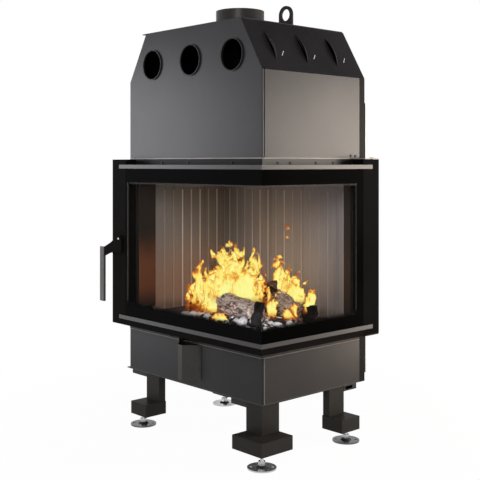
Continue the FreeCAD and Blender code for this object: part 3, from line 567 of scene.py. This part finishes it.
def log_bark(name, bark, ash, glow):
    """Burnt bark with ash on it and glowing cracks."""
    look, material = new_look(name)
    ridge = look.grain(1.0, 6.0, 0.6, look.stretched(30, 82, 82), 1.3)
    patch = look.grain(16, 4.0, 0.6)
    crack = look.cells(48.0, "DISTANCE_TO_EDGE")
    skin = look.blend(ridge.rise(0.4, 0.58), shade(bark, 0.16), bark)
    skin = look.blend(patch.rise(0.5, 0.66) * ridge.rise(0.42, 0.6), skin, ash)
    ember = (1 - crack.rise(0.0, 0.05)) * patch.rise(0.52, 0.62)
    look.paint({
        "Base Color": skin,
        "Roughness": 0.92 - patch * 0.1,
        "Specular IOR Level": 0.2,
        "Emission Color": look.blend(ember * glow, no_light, (1.0, 0.22, 0.03, 1.0)),
        "Emission Strength": 2.0,
        "Normal": look.bump(ridge, 0.006, 0.9),
    })
    return material


def add_log(name, start, end, radius, seed, material, rough=1):
    """Round log between two points, with broken ends. A larger rough makes it craggier."""
    start, end = spot(*start), spot(*end)
    axis = end - start
    sides, slices = 30, 16
    lumps, lump_depth = 16, 0.34
    ridges_round, ridges_along, ridge_depth = 90, 22, 0.16
    splinters, splinter_depth = 60, 0.25
    shape = bmesh.new()
    bmesh.ops.create_cone(
        shape, cap_ends=True, segments=sides, radius1=radius, radius2=radius * 0.9, depth=axis.length)
    ends = [face for face in shape.faces if len(face.verts) == sides]
    bmesh.ops.inset_region(shape, faces=ends, thickness=radius * 0.35)
    for i in range(1, slices):
        place = Vector((0.0, 0.0, axis.length * (i / slices - 0.5)))
        whole = shape.verts[:] + shape.edges[:] + shape.faces[:]
        bmesh.ops.bisect_plane(shape, geom=whole, plane_co=place, plane_no=(0, 0, 1))
    for vert in shape.verts:
        x, y, z = vert.co
        lump = noise.noise(vert.co * lumps * rough + Vector((seed, 0, 0))) * lump_depth * rough ** 0.5
        grooved = Vector((x * ridges_round, y * ridges_round, z * ridges_along + seed * 3))
        ridge = noise.noise(grooved) * ridge_depth
        vert.co.x *= 1 + lump + ridge
        vert.co.y *= 1 + lump + ridge
        vert.co.z += noise.noise(vert.co * splinters + Vector((0, seed, 0))) * radius * splinter_depth
    turn = Vector((0, 0, 1)).rotation_difference(axis).to_matrix().to_4x4()
    bmesh.ops.transform(shape, matrix=Matrix.Translation((start + end) / 2) @ turn, verts=shape.verts)
    for vert in shape.verts:
        vert.co.z = max(vert.co.z, lowest)
    return add_piece(name, shape, material)


bed_middle = spot(-325, 213, 0)
bed_half = (0.31, 0.184)
bed_height = 0.06


def mound_height(x, y):
    """Height of the ember bed above the hearth, in metres."""
    far = math.hypot((x - bed_middle.x) / bed_half[0], (y - bed_middle.y) / bed_half[1])
    return max(0.0, 1 - far ** 2) * bed_height


def chips_look():
    """Dark coal, pinkish ash and, towards the front corner, white stones, cell by cell."""
    look, material = new_look("ember_chips")
    pick = look.node("SeparateColor", inputs={0: look.cells(64.0, output="Color")})
    speck = look.grain(160, 4.0, 0.65)
    corner = look.away_from(spot(-165, 105, 460))
    ramp = [
        (0.0, tone(8, 8, 8)), (0.5, tone(30, 26, 25)), (0.64, tone(130, 106, 98)),
        (0.78, tone(210, 198, 194)), (0.94, tone(250, 252, 255)),
    ]
    white = (1 - corner.rise(0.08, 0.22)) * 0.05
    glow = pick.between(0.30, 0.42) * speck.rise(0.5, 0.62) * corner.rise(0.1, 0.2)
    look.paint({
        "Base Color": look.node("ValToRGB", {"stops": ramp}, {0: pick + (speck - 0.5) * 0.5 + white}),
        "Roughness": 0.8 + (speck - 0.5) * 0.2,
        "Emission Color": look.blend(glow, no_light, (1.0, 0.25, 0.03, 1.0)),
        "Emission Strength": 1.6,
        "Normal": look.bump(speck, 0.002, 0.6),
    })
    return material


def strew(shape, stones, levels, dice):
    """Rough stones on the ember bed. Each has its place and its radius."""
    for i, (x, y, size) in enumerate(stones):
        stone = bmesh.ops.create_icosphere(shape, subdivisions=levels, radius=size)["verts"]
        for vert in stone:
            vert.co *= 1 + noise.noise(vert.co * 0.9 / size + Vector((i, 0, 0))) * 0.5
        bmesh.ops.scale(shape, vec=(1.0, dice.uniform(0.6, 1.0), dice.uniform(0.5, 0.8)), verts=stone)
        spin = Matrix.Rotation(dice.uniform(0, math.tau), 3, "Z")
        bmesh.ops.rotate(shape, cent=(0, 0, 0), matrix=spin, verts=stone)
        lift = hearth_top + mound_height(x, y) + size * 0.3
        bmesh.ops.translate(shape, vec=(x, y, lift), verts=stone)
        for vert in stone:
            vert.co.z = max(vert.co.z, lowest)


def white_stone():
    """Pale quartz with a few grey and rosy patches."""
    look, material = new_look("white_stone")
    speck = look.grain(120, 4.0, 0.6)
    patch = look.grain(34, 3.0)
    skin = look.blend(speck.rise(0.4, 0.7), tone(206, 204, 208), tone(250, 252, 255))
    look.paint({
        "Base Color": look.blend(patch.rise(0.55, 0.68), skin, tone(172, 146, 138)),
        "Roughness": 0.7 + (speck - 0.5) * 0.2,
        "Normal": look.bump(speck, 0.001, 0.5),
    })
    return material


def add_white_stones(material):
    """The larger pale stones at the front of the bed."""
    shape = bmesh.new()
    stones = []
    for across, back, size in [
        (-193, 82, 26), (-222, 76, 17), (-168, 104, 15), (-150, 128, 14), (-76, 152, 18),
        (-104, 140, 13), (-58, 196, 15), (-40, 226, 12), (-562, 92, 22), (-534, 84, 17),
        (-505, 80, 14), (-474, 76, 19), (-420, 66, 15), (-372, 60, 18), (-340, 62, 13),
    ]:
        place = spot(across, back, 0)
        stones.append((place.x, place.y, size / 1000))
    strew(shape, stones, 2, random.Random(5))
    return add_piece("white_stones", shape, material)


def add_chips(material):
    """Heap of ash with coals and stones strewn on it, in place of the plain heap."""
    dice = random.Random(11)
    coals, chips = 300, 260
    shape = bmesh.new()
    bmesh.ops.create_uvsphere(shape, u_segments=40, v_segments=16, radius=1.0)
    for vert in shape.verts:
        x, y = bed_middle.x + vert.co.x * bed_half[0], bed_middle.y + vert.co.y * bed_half[1]
        top = hearth_top + mound_height(x, y) + noise.noise(Vector((x, y, 0)) * 40) * 0.004
        vert.co = (x, y, max(top, lowest) if vert.co.z > 0 else underside)
    stones = []
    for _ in range(coals):
        angle, out = dice.random() * math.tau, dice.random() ** 0.5
        x = bed_middle.x + math.cos(angle) * out * bed_half[0]
        y = bed_middle.y + math.sin(angle) * out * bed_half[1]
        stones.append((x, y, dice.uniform(0.007, 0.017)))
    for _ in range(chips):
        place = spot(dice.uniform(-330, -20), dice.uniform(20, 300), 0)
        stones.append((place.x, place.y, dice.uniform(0.005, 0.011)))
    strew(shape, stones, 1, dice)
    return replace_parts(add_piece("ember_bed", shape, material), "log_heap")


def flame_look():
    """Fire: pale yellow inside, orange and ragged at the edge."""
    look, material = new_look("flames")
    u, v = look.split(look.node("TexCoord", output="UV"))[:2]
    x, z = look.axes()[::2]
    lick = look.grain(1.0, 2.0, 0.5, look.stretched(19, 19, 12), 1.8)
    curl = look.grain(1.0, 4.0, 0.6, look.stretched(60, 60, 42), 1.4)
    side = (u - 0.5) * 2 + (lick - 0.5) * 1.2 * v
    edge = side * side * 0.66 + v * v * 0.6 + (lick - 0.5) * 1.5 + (curl - 0.5) * 0.45
    vein = 1 - abs(curl - 0.5).rise(0.0, 0.06)
    left_end = 1 - x.rise(spot(-520, 0, 0).x, spot(-380, 0, 0).x)
    right_end = x.rise(spot(-260, 0, 0).x, spot(-200, 0, 0).x)
    foot = (1 - v.rise(0.0, 0.36)) * 1.05 + (1 - z.rise(0.47, 0.54)) * 0.42
    wisp = z.rise(0.715, 0.776)
    dim = look.grain(26, 2.0, swirl=1.0).rise(0.42, 0.7)
    cool = right_end * 0.2 + left_end * 0.32 + foot + wisp * 0.4 + dim * 0.34
    heat = 1.32 - edge.rise(0.04, 0.54) - vein * 0.2 - cool
    solid = (1 - edge.rise(0.4, 0.52)) * v.rise(0.0, 0.34)
    ramp = [
        (0.0, (0.5, 0.1, 0.01, 1.0)), (0.12, (0.85, 0.32, 0.04, 1.0)), (0.3, (1.0, 0.6, 0.1, 1.0)),
        (0.55, (1.0, 0.84, 0.18, 1.0)), (1.0, (1.0, 0.96, 0.32, 1.0)),
    ]
    look.paint({
        "Base Color": no_light,
        "Roughness": 1.0,
        "Specular IOR Level": 0.0,
        "Alpha": solid * (0.86 + heat * 0.3) * (1 - wisp * 0.35),
        "Emission Color": look.node("ValToRGB", {"stops": ramp}, {0: heat}),
        "Emission Strength": 1.12,
    })
    material.surface_render_method = "BLENDED"
    return material


def add_flames(tongues, material):
    """Thin curved sheets of flame. Each has its foot, height and width in millimetres, and its turn."""
    shape = bmesh.new()
    shape.loops.layers.uv.new("UVMap")
    for i, (foot, height, width, turn) in enumerate(tongues):
        before = set(shape.verts)
        bmesh.ops.create_grid(shape, x_segments=8, y_segments=14, size=0.5, calc_uvs=True)
        sheet = [v for v in shape.verts if v not in before]
        for vert in sheet:
            across, up = vert.co.x, vert.co.y + 0.5
            sway = math.sin(up * 4.0 + i * 1.7) * 0.012 * up
            bow = across ** 2 * width * 0.5 + math.sin(across * 7 + i) * 3
            vert.co = (across * width / 1000 + sway, bow / 1000, up * height / 1000)
        place = Matrix.Translation(spot(*foot)) @ Matrix.Rotation(math.radians(turn), 4, "Z")
        bmesh.ops.transform(shape, matrix=place, verts=sheet)
    return add_piece("flames", shape, material)


pale_bark = log_bark("pale_bark", tone(214, 192, 178), tone(238, 230, 226), 0.4)
coal_bark = log_bark("coal_bark", tone(54, 40, 35), tone(120, 98, 88), 0.3)
char = log_bark("char", tone(20, 16, 15), tone(26, 22, 21), 0.0)
add_log("log_front", (-347, 111, 524), (-136, 102, 516), 0.040, 3.1, pale_bark)
add_log("log_right", (-226, 276, 528), (-72, 262, 497), 0.043, 7.7, pale_bark)
add_log("log_back", (-340, 150, 558), (-206, 282, 579), 0.031, 1.3, coal_bark)
add_log("log_left", (-521, 87, 508), (-393, 237, 500), 0.033, 5.2, coal_bark)
add_log("log_rear", (-604, 261, 492), (-257, 329, 500), 0.040, 9.4, coal_bark)
add_log("coal_front", (-112, 70, 464), (-103, 84, 556), 0.021, 2.2, char, 3)
add_log("coal_right", (-40, 282, 466), (-42, 300, 530), 0.027, 4.4, char, 3)
add_chips(chips_look())
add_white_stones(white_stone())
add_flames([
    ((-363, 145, 512), 258, 150, 47), ((-295, 160, 510), 250, 150, 60),
    ((-249, 182, 512), 234, 130, 35), ((-287, 110, 508), 217, 210, 50),
    ((-235, 137, 506), 204, 160, 42), ((-456, 102, 458), 230, 140, 55),
    ((-501, 92, 458), 170, 100, 40), ((-398, 107, 470), 235, 140, 30),
    ((-386, 95, 458), 185, 180, 32), ((-290, 50, 450), 55, 90, 40),
    ((-348, 66, 474), 125, 84, 42), ((-214, 300, 500), 215, 110, 40),
    ((-135, 318, 500), 150, 100, 62), ((-60, 215, 472), 70, 76, 48),
    ((-30, 281, 490), 120, 60, 70), ((-112, 151, 470), 140, 56, 36),
    ((-330, 170, 530), 190, 140, -42), ((-430, 130, 462), 200, 110, -40),
    ((-163, 306, 500), 175, 105, 44), ((-173, 300, 808), 32, 34, 47),
    ((-165, 300, 776), 18, 18, 47), ((-59, 290, 604), 26, 22, 47),
    ((-412, 200, 729), 42, 44, 47), ((-455, 150, 690), 46, 28, 47),
], flame_look())


# Floor, light and camera

def soft_box(name, place, target, size, power, colour):
    """Rectangular lamp that faces a point."""
    lamp = bpy.data.lights.new(name, "AREA")
    lamp.shape = "RECTANGLE"
    lamp.size, lamp.size_y = size
    lamp.energy = power
    lamp.color = colour
    holder = bpy.data.objects.new(name, lamp)
    holder.location = place
    holder.visible_camera = False
    holder.rotation_euler = (Vector(target) - Vector(place)).to_track_quat("-Z", "Y").to_euler()
    bpy.context.scene.collection.objects.link(holder)


def seen_directly(look):
    """1 for camera, mirror and glass rays, 0 for the rays that light a surface."""
    path = look.node("LightPath").output.node
    rays = ("Is Camera Ray", "Is Glossy Ray", "Is Transmission Ray")
    camera, mirror, glass = [Socket(look, path.outputs[ray]) for ray in rays]
    return camera.math("ADD", camera + mirror, glass, clamp=True)


def white_room():
    """World that is white round the horizon and dim overhead."""
    world = bpy.data.worlds.new("studio")
    bpy.context.scene.world = world
    world.use_nodes = True
    look = Look(world.node_tree)
    overhead, fill = (0.1, 0.1, 0.105, 1.0), (0.34, 0.34, 0.36, 1.0)
    up = look.split(look.node("TexCoord", output="Generated"))[2]
    wall = 1 - up.rise(0.22, 0.6)
    colour = look.blend(seen_directly(look), fill, look.blend(wall, overhead, full_white))
    look.node("OutputWorld", inputs={"Surface": look.node("Background", inputs={"Color": colour})})


def pale_floor():
    """Floor that the camera sees as white, with a trace of shadow close to the object."""
    size, drop, trace = 12.0, 0.0005, 0.03
    mesh = bpy.data.meshes.new("floor")
    shape = bmesh.new()
    bmesh.ops.create_grid(shape, x_segments=1, y_segments=1, size=size)
    bmesh.ops.translate(shape, verts=shape.verts, vec=(0.0, 0.0, -drop))
    shape.to_mesh(mesh)
    shape.free()
    floor = bpy.data.objects.new("floor", mesh)
    bpy.context.scene.collection.objects.link(floor)
    look, material = new_look("pale_floor")
    matt = look.node("BsdfDiffuse", inputs={"Color": (0.8, 0.8, 0.8, 1.0)})
    white = look.node("Emission", inputs={"Color": full_white})
    far = look.away_from((0.0, 0.0, 0.0)).rise(0.7, 1.5)
    share = seen_directly(look) * (1 - trace + far * trace)
    shown = look.node("MixShader", inputs={0: share, 1: matt, 2: white})
    look.node("OutputMaterial", inputs={"Surface": shown})
    mesh.materials.append(material)


def photo_camera():
    """Level camera with a vertical shift, placed as in the photo."""
    lens = bpy.data.cameras.new("camera")
    lens.sensor_width = 36.0
    lens.lens = 67.14
    lens.shift_y = -0.1593
    lens.clip_end = 60.0
    camera = bpy.data.objects.new("camera", lens)
    camera.location = spot(2338.0, -2236.05, 1078.0)
    camera.rotation_euler = (math.radians(90.0), 0.0, math.radians(47.7))
    bpy.context.scene.collection.objects.link(camera)
    bpy.context.scene.camera = camera


white_room()
pale_floor()
photo_camera()
soft_box("front_box", (-1.9, -1.36, 1.2), (-0.3, -0.24, 1.15), (1.1, 1.0), 19.0, (0.96, 0.94, 1.0))
soft_box("front_low_box", (-1.45, -1.2, 0.16), (-0.3, -0.24, 0.3), (0.6, 0.3), 1.6, (0.97, 0.95, 1.0))
soft_box("side_box", (1.75, 1.9, 1.12), (0.41, 0.15, 1.15), (1.3, 1.0), 62.0, (1.0, 0.87, 0.75))
soft_box("side_low_box", (1.35, 1.75, 0.16), (0.41, 0.2, 0.3), (0.6, 0.3), 9.5, (1.0, 0.82, 0.68))
soft_box("key_box", (2.6, -3.4, 2.4), (0.1, -0.1, 0.75), (1.6, 1.6), 80.0, (1.0, 0.97, 0.95))
soft_box("fire_glow", spot(-300, 190, 640), spot(-420, 420, 700), (0.3, 0.2), 0.8, (1.0, 0.66, 0.4))
soft_box("stone_light", spot(-95, 35, 500), spot(-210, 140, 455), (0.2, 0.05), 0.11, (0.92, 0.96, 1.0))
bpy.context.scene.view_settings.view_transform = "Standard"
